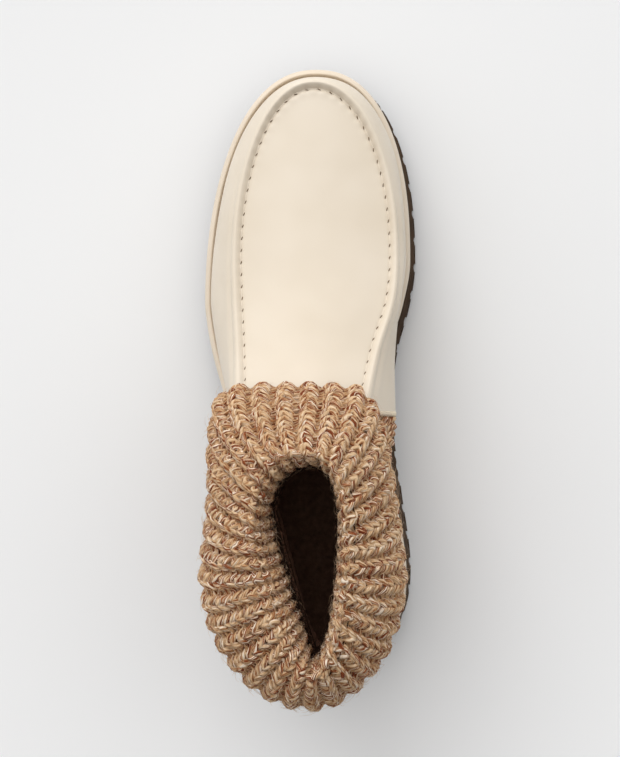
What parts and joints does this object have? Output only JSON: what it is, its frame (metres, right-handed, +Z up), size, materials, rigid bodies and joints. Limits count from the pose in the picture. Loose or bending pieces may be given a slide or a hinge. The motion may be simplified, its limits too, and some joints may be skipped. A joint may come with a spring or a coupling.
{
  "type": "ankle boot, left, moccasin vamp with a folded knit cuff",
  "caption": "Left ankle boot: leather moccasin vamp with a sewn plug, rib-knit sock with a folded-down cuff, rim and lugged rubber sole, standing empty.",
  "frame": {"origin": "on the floor under the middle of the whole boot's plan", "axes": "+Y towards the toe, +X towards the inner (medial) side of the foot, +Z up"},
  "size_m": [0.0974, 0.279, 0.1512],
  "materials": {
    "rubber_brown": "matte",
    "rim_cream": "satin",
    "fleece_dark": "matte",
    "leather_cream": "glossy",
    "knit_marl": "matte"
  },
  "bodies": {
    "root": {"outsole": "rubber_brown", "rim": "rim_cream", "insole": "fleece_dark", "vamp": "leather_cream", "plug": "leather_cream", "sock": "knit_marl"}
  },
  "joints": []
}
